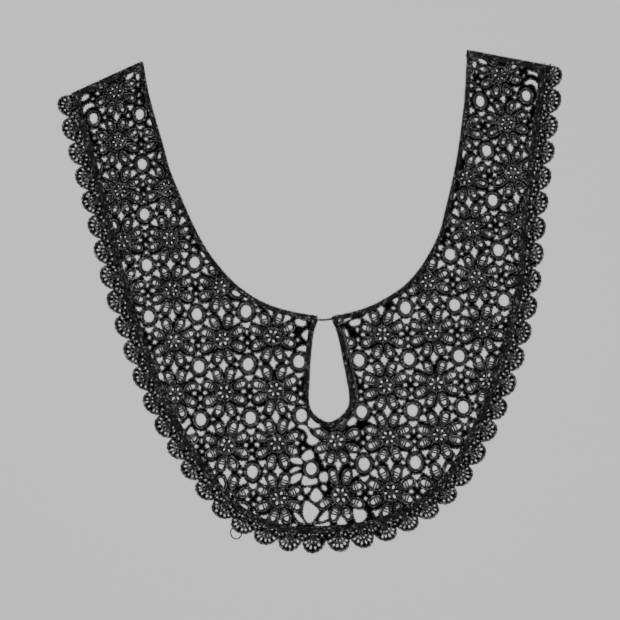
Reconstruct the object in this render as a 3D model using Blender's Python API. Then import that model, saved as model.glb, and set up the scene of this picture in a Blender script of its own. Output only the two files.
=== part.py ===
# Lace collar of black guipure, laid flat and face up, with its underside at z = 0.
# Lengths are in millimetres until a mesh is written. X runs across the collar and Y up towards its
# two shoulder ends. Lines that run along the collar start at the left end, go down round the front
# and end at the right end, so their left-hand side faces the neck.

import math

import bmesh
import bpy
from mathutils import Vector
from mathutils.geometry import delaunay_2d_cdt

mm = 0.001
middle = (10.49, 0.69)  # the middle of the outline, which becomes the origin
seamGap = 0.3
halfGap = seamGap / 2
farAway = 400.0  # well past the outline

# Thickness of each kind of piece, and how far its relief stands up
groundThick = 1.5
bandThick = 2.1
edgingThick = 1.7
barThick = 1.3
flowerRise = 0.6
shellRise = 0.5

# Widths of the bands
neckBandWide = 3.3
keyholeBandWide = 3.3
endBandWide = 4.4
denseBandWide = 4.7
baseStripWide = 5.7
barWide = 1.4
barY = -13.2

# Scallops, two to each section
scallopHigh = 6.4
scallopAngles = (14, 42, 74, 106, 138, 166)  # points round a scallop, degrees
shellAcross = 0.66  # the raised shell, as a share of its scallop
shellFrom = 0.1
shellTo = 0.7

# A section across the collar at every second scallop, from the left end round to the right end
# neckX, neckY, edgeX, edgeY
sections = (
    (-100.4, 174.0, -155.1, 151.4),
    (-97.9, 148.3, -149.2, 117.9),
    (-94.4, 129.0, -142.6, 85.0),
    (-90.6, 111.5, -136.8, 51.6),
    (-87.4, 95.0, -131.1, 17.2),
    (-82.2, 78.6, -122.6, -16.7),
    (-76.4, 62.0, -112.8, -52.3),
    (-69.6, 45.4, -99.5, -84.9),
    (-59.8, 28.5, -83.3, -114.1),
    (-45.2, 11.4, -62.8, -141.0),
    (-23.7, -2.3, -33.1, -157.6),
    (8.9, -10.8, -1.1, -161.3),
    (36.0, -7.6, 31.3, -159.5),
    (58.4, 2.1, 61.6, -149.4),
    (72.0, 13.0, 87.6, -131.1),
    (82.4, 26.5, 107.6, -102.8),
    (90.1, 40.0, 123.4, -73.8),
    (95.2, 55.0, 136.9, -40.2),
    (99.8, 69.3, 147.3, -6.7),
    (104.1, 84.2, 153.3, 28.6),
    (107.6, 98.6, 159.0, 62.5),
    (110.7, 114.0, 166.1, 96.0),
    (113.8, 131.5, 172.8, 130.4),
    (118.6, 170.0, 180.0, 163.5),
)
frontSection = 11  # where the two halves meet
spanSteps = 4  # points along each span between sections

# The keyhole's sides, from the neckline down
# y, leftX, rightX
keyholeSections = (
    (6.0, 4.0, 14.0),
    (-12.0, 3.8, 14.0),
    (-20.0, 0.9, 16.4),
    (-30.0, -1.4, 18.2),
    (-42.0, -3.3, 19.5),
    (-54.0, -4.7, 21.1),
    (-65.0, -6.1, 21.9),
    (-73.0, -4.2, 19.9),
    (-79.5, 1.4, 13.2),
)
keyholeFoot = (7.0, -83.2)

# The cut across each shoulder end, from the neckline out to the scallops
leftEnd = ((-100.5, 168.6), (-153.6, 149.0))
rightEnd = ((116.9, 160.3), (176.5, 144.4))

# The line on which the two halves of the ground are joined, from inside the keyhole down
joinLine = (
    (7.0, -20.0),
    (-1.0, -55.0),
    (-6.1, -74.1),
    (-9.7, -85.9),
    (-11.6, -97.9),
    (-21.6, -102.5),
    (-23.8, -122.5),
    (-16.1, -129.9),
    (-16.1, -185.0),
)

# The flower lattice of each half. A flower sits at every whole column and row, counted to the right
# and down, and an eyelet in the middle of each four flowers. The last three steps bend the lattice.
lattices = {
    "left": {
        "start": (-60.4, -21.2),
        "column": (33.1, -0.7),
        "row": (-1.1, -35.3),
        "columnBend": (0.4, 0.2),
        "twist": (0.14, -0.4),
        "rowBend": (-0.07, -0.17),
    },
    "right": {
        "start": (13.5, -23.6),
        "column": (33.3, -2.7),
        "row": (-0.8, -34.4),
        "columnBend": (0.0, 0.56),
        "twist": (0.5, 0.08),
        "rowBend": (-0.11, -0.11),
    },
}
cellAcross = 33.3
cellDown = 34.8
latticeReach = 7  # columns and rows looked at, each way

# Flowers
petals = 8
petalTip = 15.1
petalNotch = 8.8
petalHalfTurn = 9.0  # from a petal's middle line to the corner of its tip, degrees
petalTurn = 22.5  # the first petal's direction, degrees

# Holes round one eyelet, as points from its centre, to the right and up
eyeletWide = 3.6
eyeletHigh = 4.2
eyeletSides = 8
lowerKite = ((-7.0, -3.1), (-8.6, -5.8), (-9.5, -9.3), (-3.8, -6.5))
upperKite = ((-9.4, 7.8), (-6.9, 2.9), (-3.8, 6.4))
footGap = ((-2.7, -7.7), (0.0, -10.9), (2.7, -7.6), (0.0, -6.4))
diamond = (
    (0.0, 4.7), (-1.3, 1.6), (-2.8, 0.0), (-1.3, -1.6),
    (0.0, -4.7), (1.3, -1.6), (2.8, 0.0), (1.3, 1.6),
)  # fmt: skip
mostHoles = 300
holeMargin = 1.0  # the least width of lace between a hole and the edge

# Odd gaps where the halves are joined and above the front edging
# x, y, halfWide, halfHigh, turn in degrees
joinGaps = (
    (-4.9, -84.2, 3.0, 2.2, -30),
    (-5.0, -93.5, 4.3, 3.1, 0),
    (-8.2, -103.2, 3.6, 3.0, 0),
    (-7.4, -112.1, 3.6, 4.2, 0),
    (-18.2, -118.2, 3.6, 2.6, 30),
    (-8.9, -119.8, 4.7, 2.5, 0),
    (-5.4, -129.9, 4.2, 4.5, 0),
    (-10.1, -140.7, 4.7, 7.0, 0),
    (-1.0, -146.2, 4.2, 2.6, 15),
    (10.3, -148.0, 2.6, 2.2, 0),
    (22.9, -145.2, 4.2, 3.8, 0),
    (21.8, -82.4, 3.6, 2.4, 35),
)
gapSides = 6

# Thread colours
threadBlack = (0.020, 0.020, 0.022, 1)
bandBlack = (0.016, 0.016, 0.018, 1)


def clearScene():
    for item in list(bpy.data.objects):
        bpy.data.objects.remove(item, do_unlink=True)


def smoothLine(points, steps):
    # A Catmull-Rom curve through the points
    first = [2 * a - b for a, b in zip(points[0], points[1])]
    last = [2 * a - b for a, b in zip(points[-1], points[-2])]
    row = [first, *points, last]
    line = []
    for k in range(1, len(row) - 2):
        for step in range(steps):
            t = step / steps
            weights = (
                -0.5 * t + t * t - 0.5 * t**3,
                1 - 2.5 * t * t + 1.5 * t**3,
                0.5 * t + 2 * t * t - 1.5 * t**3,
                -0.5 * t * t + 0.5 * t**3,
            )
            near = row[k - 1 : k + 3]
            line.append(tuple(sum(w * p[axis] for w, p in zip(weights, near)) for axis in (0, 1)))
    line.append(tuple(points[-1]))
    return line


def offsetLine(line, distance):
    # The line moved to its left-hand side, or to its right where distance is negative
    moved = []
    for k, (x, y) in enumerate(line):
        before = line[max(k - 1, 0)]
        after = line[min(k + 1, len(line) - 1)]
        dx = after[0] - before[0]
        dy = after[1] - before[1]
        long = math.hypot(dx, dy)
        moved.append((x - dy / long * distance, y + dx / long * distance))
    return moved


def stretched(line, more):
    # The line with its two ends carried straight on
    (ax, ay), (bx, by) = line[0], line[1]
    (cx, cy), (dx, dy) = line[-2], line[-1]
    start = more / math.hypot(ax - bx, ay - by)
    stop = more / math.hypot(dx - cx, dy - cy)
    head = (ax + (ax - bx) * start, ay + (ay - by) * start)
    tail = (dx + (dx - cx) * stop, dy + (dy - cy) * stop)
    return [head, *line, tail]


neckLine = stretched(smoothLine([row[:2] for row in sections], spanSteps), 12)
edgeLine = smoothLine([row[2:] for row in sections], spanSteps)
frontStation = frontSection * spanSteps


def alongEdge(inward):
    return stretched(offsetLine(edgeLine, inward), 12)


def scallop(station, across, low, high):
    # The points of one scallop's arch, as shares of its width and height
    (ax, ay), (bx, by) = edgeLine[station], edgeLine[station + 2]
    midX = (ax + bx) / 2
    midY = (ay + by) / 2
    halfX = (bx - ax) / 2
    halfY = (by - ay) / 2
    half = math.hypot(halfX, halfY)
    outX = halfY / half * scallopHigh
    outY = -halfX / half * scallopHigh
    arch = []
    for angle in scallopAngles:
        side = -math.cos(math.radians(angle)) * across
        out = low + math.sin(math.radians(angle)) * (high - low)
        arch.append((midX + halfX * side + outX * out, midY + halfY * side + outY * out))
    return arch


scallopStations = range(0, len(edgeLine) - 2, 2)


def scallopedLine():
    plain = alongEdge(0)
    line = [plain[0]]
    for station in scallopStations:
        line.append(edgeLine[station])
        line += scallop(station, 1.0, 0.0, 1.0)
    return [*line, *plain[-2:]]


def between(outer, inner):
    return [*outer, *reversed(inner)]


def keyholeOutline(outward):
    # The keyhole's edge moved into the lace, with its top carried up past the neckline
    left = [(row[1], row[0]) for row in keyholeSections]
    right = [(row[2], row[0]) for row in reversed(keyholeSections)]
    return offsetLine(smoothLine([*left, keyholeFoot, *right], 2), -outward)


def endZone(end, inward):
    # Everything on the collar's side of a line, inward from the cut across a shoulder end
    (ax, ay), (bx, by) = end
    long = math.hypot(bx - ax, by - ay)
    alongX = (bx - ax) / long
    alongY = (by - ay) / long
    downX, downY = (alongY, -alongX) if alongX > 0 else (-alongY, alongX)
    startX = ax + downX * inward
    startY = ay + downY * inward
    near = (startX - alongX * farAway, startY - alongY * farAway)
    far = (startX + alongX * farAway, startY + alongY * farAway)
    return [
        near,
        far,
        (far[0] + downX * farAway, far[1] + downY * farAway),
        (near[0] + downX * farAway, near[1] + downY * farAway),
    ]


def beside(line, side):
    # Everything on one side of a line that runs down the front
    shifted = offsetLine(line, side * halfGap)
    far = side * farAway
    return [(shifted[0][0], farAway), *shifted, (shifted[-1][0], -farAway), (far, -farAway), (far, farAway)]


def latticePoint(half, column, row):
    lattice = lattices[half]
    return tuple(
        lattice["start"][axis]
        + lattice["column"][axis] * column
        + lattice["row"][axis] * row
        + lattice["columnBend"][axis] * column * column
        + lattice["twist"][axis] * column * row
        + lattice["rowBend"][axis] * row * row
        for axis in (0, 1)
    )


def motif(half, column, row, shape):
    # A shape drawn round a lattice place, which bends with the lattice
    return [latticePoint(half, column + x / cellAcross, row - y / cellDown) for x, y in shape]


def mirrored(shape):
    return [(-x, y) for x, y in reversed(shape)]


def ellipse(halfWide, halfHigh, sides):
    turns = [2 * math.pi * (k + 0.5) / sides for k in range(sides)]
    return [(halfWide * math.cos(t), halfHigh * math.sin(t)) for t in turns]


def flowerShape():
    petal = ((-petalHalfTurn, petalTip), (petalHalfTurn, petalTip), (180 / petals, petalNotch))
    shape = []
    for k in range(petals):
        for turn, radius in petal:
            angle = math.radians(petalTurn + 360 / petals * k + turn)
            shape.append((radius * math.cos(angle), radius * math.sin(angle)))
    return shape


def joinGapShapes():
    shapes = []
    for x, y, halfWide, halfHigh, turn in joinGaps:
        c = math.cos(math.radians(turn))
        s = math.sin(math.radians(turn))
        oval = ellipse(halfWide, halfHigh, gapSides)
        shapes.append([(x + c * u - s * v, y + s * u + c * v) for u, v in oval])
    return shapes


def centreOf(shape):
    return tuple(sum(p[axis] for p in shape) / len(shape) for axis in (0, 1))


def areaOf(shape):
    return sum(a[0] * b[1] - a[1] * b[0] for a, b in zip(shape, [*shape[1:], shape[0]])) / 2


def isInside(point, shape):
    x, y = point
    inside = False
    for (ax, ay), (bx, by) in zip(shape, [*shape[1:], shape[0]]):
        if (ay > y) != (by > y) and x < ax + (y - ay) / (by - ay) * (bx - ax):
            inside = not inside
    return inside


def distanceTo(point, shape):
    x, y = point
    best = math.inf
    for (ax, ay), (bx, by) in zip(shape, [*shape[1:], shape[0]]):
        dx = bx - ax
        dy = by - ay
        t = ((x - ax) * dx + (y - ay) * dy) / (dx * dx + dy * dy)
        t = min(max(t, 0), 1)
        best = min(best, math.hypot(x - ax - dx * t, y - ay - dy * t))
    return best


def roomAt(point, kept, avoided):
    # How far a point is from the nearest border of the lace, negative outside it
    room = min(distanceTo(point, zone) for zone in [*kept, *avoided])
    within = all(isInside(point, zone) for zone in kept)
    return room if within and not any(isInside(point, zone) for zone in avoided) else -room


def clearOf(shape, kept, avoided):
    return min(roomAt(point, kept, avoided) for point in shape) >= holeMargin


def farFrom(shape, others):
    return all(roomAt(point, [], others) > holeMargin for point in shape)


def canBeCut(shape, kept, avoided):
    # True for a hole that lies well inside the lace, or that a border plainly crosses
    if roomAt(centreOf(shape), kept, avoided) < holeMargin:
        return False
    return all(abs(roomAt(point, kept, avoided)) > holeMargin / 2 for point in shape)


def latticePlaces(offsetColumn, offsetRow):
    # Places near the front come first, so what is cut first lies there
    steps = range(-latticeReach, latticeReach + 1)
    places = [(column + offsetColumn, row + offsetRow) for column in steps for row in steps]
    return sorted(places, key=lambda place: (abs(place[1]), abs(place[0])))


def latticeHoles(half, kept, avoided):
    # One list of holes for each kind, the largest kind first
    eyelet = ellipse(eyeletWide, eyeletHigh, eyeletSides)
    kinds = (
        ((0.5, 0.5), (eyelet,)),
        ((0.0, 0.5), (diamond,)),
        ((0.5, 0.5), (lowerKite, mirrored(lowerKite))),
        ((0.5, 0.5), (footGap,)),
        ((0.5, 0.5), (upperKite, mirrored(upperKite))),
    )
    found = []
    for (offsetColumn, offsetRow), shapes in kinds:
        kind = []
        for column, row in latticePlaces(offsetColumn, offsetRow):
            for shape in shapes:
                hole = motif(half, column, row, shape)
                if canBeCut(hole, kept, avoided):
                    kind.append(hole)
        found.append(kind)
    return found


def material(name, colour, roughness):
    made = bpy.data.materials.new(name)
    made.use_nodes = True
    shader = made.node_tree.nodes["Principled BSDF"]
    shader.inputs["Base Color"].default_value = colour
    shader.inputs["Roughness"].default_value = roughness
    made.diffuse_color = colour
    return made


def boxOf(shape):
    xs, ys = zip(*shape)
    return min(xs), min(ys), max(xs), max(ys)


def triangulated(shapes, isKept):
    # Triangles over the shapes, each with the numbers of the shapes that it lies in
    points = []
    edges = []
    for shape in shapes:
        first = len(points)
        points += [Vector(p) for p in shape]
        edges += [(first + k, first + (k + 1) % len(shape)) for k in range(len(shape))]
    corners, _, found, origins, _, _ = delaunay_2d_cdt(points, edges, [], 0, 1e-5)
    corners = [tuple(corner) for corner in corners]
    boxes = [boxOf(shape) for shape in shapes]
    kept = []
    for face in found:
        x, y = centre = centreOf([corners[k] for k in face])
        ids = {
            k
            for k, (left, low, right, high) in enumerate(boxes)
            if left < x < right and low < y < high and isInside(centre, shapes[k])
        }
        if isKept(ids):
            turned = areaOf([corners[k] for k in face]) < 0
            kept.append((tuple(reversed(face)) if turned else tuple(face), ids))
    return corners, kept, origins


def rimLoops(rim):
    after = dict(rim)
    loops = []
    while after:
        start, here = after.popitem()
        loop = [start]
        while here != start:
            loop.append(here)
            here = after.pop(here)
        loops.append(loop)
    return loops


def sheetSolid(name, look, inside, cut, raised, thick, rise):
    # A flat sheet of lace: it lies within every shape of inside and outside those of cut, and it is
    # thicker within the raised ones. Walls join the levels, and the underside is one plane.
    wholeSet = set(range(len(inside)))
    cutSet = set(range(len(inside), len(inside) + len(cut)))
    corners, faces, _ = triangulated(
        [*inside, *cut, *raised], lambda ids: wholeSet <= ids and not ids & cutSet
    )
    raisedFrom = len(inside) + len(cut)
    tops = [thick + rise * any(k >= raisedFrom for k in ids) for _, ids in faces]
    owner = {}
    for (face, _), top in zip(faces, tops):
        for a, b in zip(face, (face[1], face[2], face[0])):
            owner[a, b] = top
    rim = [(a, b) for a, b in owner if (b, a) not in owner]

    levels = {}
    for (face, _), top in zip(faces, tops):
        for corner in face:
            levels.setdefault(corner, set()).add(top)
    for a, b in rim:
        levels[a].add(0)
        levels[b].add(0)

    mesh = bmesh.new()
    made = {}

    def vertex(corner, level):
        if (corner, level) not in made:
            x, y = corners[corner]
            made[corner, level] = mesh.verts.new(
                ((x - middle[0]) * mm, (y - middle[1]) * mm, level * mm)
            )
        return made[corner, level]

    def wall(a, b, low, high):
        left = sorted(z for z in levels[a] if low <= z <= high)
        right = sorted(z for z in levels[b] if low <= z <= high)
        i = j = 0
        while i + 1 < len(left) or j + 1 < len(right):
            upRight = j + 1 < len(right) and (i + 1 == len(left) or right[j + 1] <= left[i + 1])
            base = [vertex(a, left[i]), vertex(b, right[j])]
            if upRight:
                j += 1
                mesh.faces.new([*base, vertex(b, right[j])])
            else:
                i += 1
                mesh.faces.new([*base, vertex(a, left[i])])

    for (face, _), top in zip(faces, tops):
        mesh.faces.new([vertex(corner, top) for corner in face])
    for (a, b), top in owner.items():
        below = owner.get((b, a), 0)
        if below < top:
            wall(a, b, below, top)

    loops = rimLoops(rim)
    order = [corner for loop in loops for corner in loop]
    outlines = [[corners[corner] for corner in loop] for loop in loops]
    outer = {k for k, outline in enumerate(outlines) if areaOf(outline) > 0}
    _, under, origins = triangulated(outlines, lambda ids: ids and ids <= outer)
    for face, _ in under:
        below = [order[origins[k][0]] for k in face]
        mesh.faces.new([vertex(corner, 0) for corner in reversed(below)])

    data = bpy.data.meshes.new(name)
    mesh.to_mesh(data)
    mesh.free()
    data.materials.append(look)
    made = bpy.data.objects.new(name, data)
    bpy.context.scene.collection.objects.link(made)
    print(name, len(data.polygons), "triangles,", len(loops) - 1, "holes")
    return made


ends = {"left": leftEnd, "right": rightEnd}
sides = {"left": -1, "right": 1}
keyholeMiddle = (keyholeFoot, (keyholeFoot[0], -farAway / 2))
edgingSplit = (edgeLine[frontStation], (edgeLine[frontStation][0], -farAway / 2))


def buildGrounds(look):
    body = between(
        alongEdge(baseStripWide + denseBandWide + halfGap),
        offsetLine(neckLine, -neckBandWide - halfGap),
    )
    keyhole = keyholeOutline(keyholeBandWide + halfGap)
    gaps = joinGapShapes()
    zones = {}
    found = {}
    for half, side in sides.items():
        zones[half] = [body, endZone(ends[half], endBandWide + halfGap), beside(joinLine, side)]
        found[half] = latticeHoles(half, zones[half], [keyhole])
        for kind in found[half]:
            kind[:] = [hole for hole in kind if farFrom(hole, gaps)]
    left = mostHoles - len(gaps)
    chosen = {"left": [], "right": []}
    for kinds in zip(found["left"], found["right"]):
        total = sum(len(kind) for kind in kinds)
        share = min(1, left / total) if total else 0
        for half, kind in zip(chosen, kinds):
            chosen[half] += kind[: int(len(kind) * share)]
            left -= int(len(kind) * share)
    for half, zone in zones.items():
        own = [gap for gap in gaps if clearOf(gap, zone, [keyhole])]
        flowers = [
            motif(half, column, row, flowerShape()) for column, row in latticePlaces(0, 0)
        ]
        flowers = [shape for shape in flowers if isInside(centreOf(shape), body)]
        sheetSolid(
            "ground_" + half,
            look,
            zone,
            [keyhole, *chosen[half], *own],
            flowers,
            groundThick,
            flowerRise,
        )


def buildNeckBands(look):
    strip = between(offsetLine(neckLine, -neckBandWide + halfGap), neckLine)
    keyhole = keyholeOutline(keyholeBandWide + halfGap)
    for half, side in sides.items():
        zone = [strip, endZone(ends[half], endBandWide + halfGap)]
        zone.append(beside(keyholeMiddle, side))
        sheetSolid("neck_band_" + half, look, zone, [keyhole], [], bandThick, 0)


def buildEndBands(look):
    outline = between(scallopedLine(), neckLine)
    for half, side in sides.items():
        zone = [outline, endZone(ends[half], 0)]
        zone.append(beside(keyholeMiddle, side))
        inner = endZone(ends[half], endBandWide - halfGap)
        sheetSolid("end_band_" + half, look, zone, [inner], [], bandThick, 0)


def buildOuterBands(look):
    strip = between(
        alongEdge(baseStripWide + halfGap),
        alongEdge(baseStripWide + denseBandWide - halfGap),
    )
    for half, side in sides.items():
        zone = [strip, endZone(ends[half], endBandWide + halfGap), beside(edgingSplit, side)]
        sheetSolid("outer_band_" + half, look, zone, [], [], bandThick, 0)


def buildScallopEdges(look):
    strip = between(scallopedLine(), alongEdge(baseStripWide - halfGap))
    shells = [scallop(station, shellAcross, shellFrom, shellTo) for station in scallopStations]
    for half, side in sides.items():
        zone = [strip, endZone(ends[half], endBandWide + halfGap), beside(edgingSplit, side)]
        whole = [shell for shell in shells if clearOf(shell, zone, [])]
        sheetSolid("scallop_edge_" + half, look, zone, [], whole, edgingThick, shellRise)


def belowNeckline(drop):
    line = offsetLine(neckLine, -drop)
    return [*line, (line[-1][0], -farAway), (line[0][0], -farAway)]


def buildKeyhole(look):
    band = keyholeOutline(keyholeBandWide - halfGap)
    opening = keyholeOutline(0)
    sheetSolid("keyhole_band", look, [band, belowNeckline(0)], [opening], [], bandThick, 0)
    inner = keyholeOutline(-seamGap)
    low = barY - barWide / 2
    high = barY + barWide / 2
    bar = [(-10.0, low), (30.0, low), (30.0, high), (-10.0, high)]
    sheetSolid("keyhole_bar", look, [inner, bar], [], [], barThick, 0)


clearScene()
lace = material("lace_thread", threadBlack, 0.6)
cordedBand = material("corded_band", bandBlack, 0.5)
buildGrounds(lace)
buildNeckBands(cordedBand)
buildEndBands(cordedBand)
buildOuterBands(cordedBand)
buildScallopEdges(lace)
buildKeyhole(cordedBand)
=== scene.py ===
import math

import bpy
import numpy as np
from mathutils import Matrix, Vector
from mathutils.geometry import delaunay_2d_cdt


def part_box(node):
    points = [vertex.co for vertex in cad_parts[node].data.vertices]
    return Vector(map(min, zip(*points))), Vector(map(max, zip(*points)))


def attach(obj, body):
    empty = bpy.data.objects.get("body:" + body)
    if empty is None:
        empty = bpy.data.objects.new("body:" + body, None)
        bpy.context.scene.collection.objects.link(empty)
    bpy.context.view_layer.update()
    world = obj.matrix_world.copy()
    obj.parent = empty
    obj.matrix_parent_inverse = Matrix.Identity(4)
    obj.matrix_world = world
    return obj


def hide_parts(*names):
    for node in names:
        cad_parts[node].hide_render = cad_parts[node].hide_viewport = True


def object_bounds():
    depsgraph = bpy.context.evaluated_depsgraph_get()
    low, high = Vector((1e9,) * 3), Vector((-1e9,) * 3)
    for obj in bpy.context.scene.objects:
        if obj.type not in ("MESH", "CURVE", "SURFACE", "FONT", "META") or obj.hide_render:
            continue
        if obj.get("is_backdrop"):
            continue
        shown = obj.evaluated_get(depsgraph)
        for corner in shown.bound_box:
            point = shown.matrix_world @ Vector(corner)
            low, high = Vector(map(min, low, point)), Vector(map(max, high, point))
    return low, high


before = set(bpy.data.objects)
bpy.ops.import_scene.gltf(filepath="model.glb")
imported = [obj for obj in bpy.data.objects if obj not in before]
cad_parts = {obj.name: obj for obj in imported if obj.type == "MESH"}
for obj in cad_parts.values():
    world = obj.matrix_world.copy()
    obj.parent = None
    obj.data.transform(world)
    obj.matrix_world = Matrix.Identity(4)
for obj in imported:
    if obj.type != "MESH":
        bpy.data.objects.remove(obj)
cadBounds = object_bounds()

# Points below are in millimetres on the collar's own sheet, as in the solids, whose origin is at middle.
# Lines along the collar run from its left end round the front to its right end, with the neck on their
# left-hand side.
mm = 0.001
middle = np.array([10.49, 0.69])
farAway = 400.0
draws = np.random.default_rng(7)

bandWidths = {"neck": 3.3, "keyhole": 3.3, "end": 4.4, "dense": 4.7, "base": 5.7}
scallopHigh = 6.4
tuck = 0.5  # how far threads run on under a band
overrun = 12.0  # how far the neck and edge lines run on past the shoulder ends
stitch = {"long": 1.3, "stray": 0.07, "sizeStray": 0.07, "bead": 0.24}

# One row for each second scallop: neckX, neckY, edgeX, edgeY
sections = np.array(
    [
        (-100.4, 174.0, -155.1, 151.4),
        (-97.9, 148.3, -149.2, 117.9),
        (-94.4, 129.0, -142.6, 85.0),
        (-90.6, 111.5, -136.8, 51.6),
        (-87.4, 95.0, -131.1, 17.2),
        (-82.2, 78.6, -122.6, -16.7),
        (-76.4, 62.0, -112.8, -52.3),
        (-69.6, 45.4, -99.5, -84.9),
        (-59.8, 28.5, -83.3, -114.1),
        (-45.2, 11.4, -62.8, -141.0),
        (-23.7, -2.3, -33.1, -157.6),
        (8.9, -10.8, -1.1, -161.3),
        (36.0, -7.6, 31.3, -159.5),
        (58.4, 2.1, 61.6, -149.4),
        (72.0, 13.0, 87.6, -131.1),
        (82.4, 26.5, 107.6, -102.8),
        (90.1, 40.0, 123.4, -73.8),
        (95.2, 55.0, 136.9, -40.2),
        (99.8, 69.3, 147.3, -6.7),
        (104.1, 84.2, 153.3, 28.6),
        (107.6, 98.6, 159.0, 62.5),
        (110.7, 114.0, 166.1, 96.0),
        (113.8, 131.5, 172.8, 130.4),
        (118.6, 170.0, 180.0, 163.5),
    ]
)
frontSection = 11
spanSteps = 4
frontStation = frontSection * spanSteps

# The keyhole's sides from the neckline down: y, leftX, rightX
keyholeSections = np.array(
    [
        (6.0, 4.0, 14.0),
        (-12.0, 3.8, 14.0),
        (-20.0, 0.9, 16.4),
        (-30.0, -1.4, 18.2),
        (-42.0, -3.3, 19.5),
        (-54.0, -4.7, 21.1),
        (-65.0, -6.1, 21.9),
        (-73.0, -4.9, 20.5),
        (-79.3, 0.4, 14.4),
    ]
)
keyholeFoot = (7.0, -82.2)
ends = {
    "left": ((-100.5, 168.6), (-153.6, 149.0)),
    "right": ((116.9, 160.3), (176.5, 144.4)),
}
sides = {"left": -1, "right": 1}
joinLine = np.array(
    [
        (7.0, -20.0),
        (-1.0, -55.0),
        (-6.1, -74.1),
        (-9.7, -85.9),
        (-11.6, -97.9),
        (-21.6, -102.5),
        (-23.8, -122.5),
        (-16.1, -129.9),
        (-16.1, -185.0),
    ]
)
lattices = {
    "left": {
        "start": (-60.4, -21.2),
        "column": (33.1, -0.7),
        "row": (-1.1, -35.3),
        "columnBend": (0.4, 0.2),
        "twist": (0.14, -0.4),
        "rowBend": (-0.07, -0.17),
    },
    "right": {
        "start": (13.5, -23.6),
        "column": (33.3, -2.7),
        "row": (-0.8, -34.4),
        "columnBend": (0.0, 0.56),
        "twist": (0.5, 0.08),
        "rowBend": (-0.11, -0.11),
    },
}
cellAcross = 33.3
cellDown = 34.8
latticeReach = 7

# Odd gaps, by their corners in the 620 x 620 photograph: where the halves are joined, beside the
# keyhole, along the front edge and at the two shoulder ends
photoCentre = np.array([310.0, 301.0])
photoTurn = math.radians(4.2)
photoMm = 0.67
oddGaps = (
    [(310.4, 416.6), (307.7, 423.8), (311.3, 428.2), (321, 426.9)],
    [(297.5, 427), (303, 424), (307.5, 427.5), (311.5, 434.5), (319.3, 440.7), (312, 445.2), (306.3, 441.2), (308, 436), (304, 430)],
    [(310.4, 449.5), (313.9, 457.7), (303.7, 460.8), (301.9, 455)],
    [(291.2, 457.7), (301, 458.5), (301.9, 464.4), (291.6, 462.1)],
    [(289.8, 473.3), (294.3, 467), (301, 468.6)],
    [(291.6, 476.4), (301.4, 473.3), (299.2, 480.4), (290.3, 484)],
    [(303.7, 475.5), (310.8, 479.1), (316.6, 478.2), (316.2, 484), (302.3, 484.9)],
    [(303.7, 488), (311.3, 488), (305.9, 494.3)],
    [(315.7, 488), (322.9, 496), (316.2, 502.3), (309.9, 497)],
    [(304.6, 501.9), (308.6, 501.4), (317.9, 508.6), (318.4, 513), (310.4, 523.8), (305.4, 520.2), (302.8, 513)],
    [(293.4, 513), (297.9, 513.9), (305, 523.3), (299.2, 522)],
    [(327.5, 510.4), (329.1, 518), (323, 521.2), (318.3, 521.6), (321, 516)],
    [(315, 524.6), (322, 524), (329, 521.6), (329.2, 526), (317, 526.4)],
    [(340.7, 515.7), (347, 524.2), (337.1, 524.2)],
    [(353.2, 509), (362.6, 509), (367, 515.3), (362.1, 522), (355.9, 522)],
    [(353.7, 416.6), (356.8, 422), (350.5, 426), (346.5, 423.3)],
    [(319.5, 474.5), (325.5, 471.5), (328.5, 477), (325.5, 482), (320, 480.5)],
    [(321.5, 485.5), (325.5, 485.5), (327, 490), (323, 490)],
    [(298, 495.5), (302.5, 496), (303, 499.5), (298.5, 500)],
    [(295.2, 320), (299, 318.8), (303, 320.5), (306.2, 321.3), (304.8, 325.8), (300, 326.2), (296, 324.3)],
    [(301.5, 334.3), (306.8, 329.5), (308.2, 331), (307.8, 340.5), (304.5, 339), (302, 336.5)],
    [(296.6, 350.5), (299.5, 346.5), (306.2, 346), (306.3, 352), (302, 350.6)],
    [(349.6, 321.5), (354, 319.8), (360, 319), (360, 324), (354.5, 326), (350, 325)],
    [(344.5, 328.5), (347, 330.5), (349, 336.5), (348.5, 341.5), (345.5, 341.5), (344.3, 334)],
    [(180.4, 423), (183.6, 423.6), (185.7, 420.7), (188.6, 418.2), (190.7, 422.9), (187.5, 426), (184.6, 429.3), (182, 426.8)],
    [(186.1, 432), (188, 430.6), (190.7, 426.8), (192.9, 428.6), (195, 431.4), (194, 436.4), (191.4, 438), (188, 435)],
    [(81.2, 99.8), (83, 95.8), (87.5, 94.2), (89.2, 96), (87, 99), (83, 101)],
    [(83, 112.5), (83.3, 107.5), (87, 104), (92.5, 103.4), (95.3, 106), (91.5, 107), (87.5, 109), (85, 112.5)],
    [(125.6, 78.5), (128, 74), (132.6, 72), (133.6, 74), (131, 78), (126.5, 80)],
    [(136, 74.5), (138, 73.3), (139.8, 77), (138.6, 80.4), (136.2, 79)],
    [(478, 58.8), (482, 59.2), (487, 62.5), (486, 64), (481, 63)],
    [(472.6, 63), (475, 61), (476.6, 64), (475.6, 67.4), (473, 67)],
    [(528, 70), (532, 71.5), (537.5, 73.5), (537.5, 76.5), (533, 74.6), (528.6, 73.6)],
    [(524.5, 83.2), (529, 79.6), (534, 80.3), (538, 84.5), (538.2, 92), (536.4, 90.4), (534.5, 86), (531, 83.9), (527, 84.8)],
)
joinRing = (-7.4, -112.1)

# Places where the stitched pattern strays from its lattice: half, column, row, then x and y
strays = {("right", 0.0, 3.0): (0.8, -1.4), ("right", 0.0, 2.0): (-0.6, -1.6)}
lowRow = {"from": 2.5, "drop": {"left": 0.0, "right": 4.0}}


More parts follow.
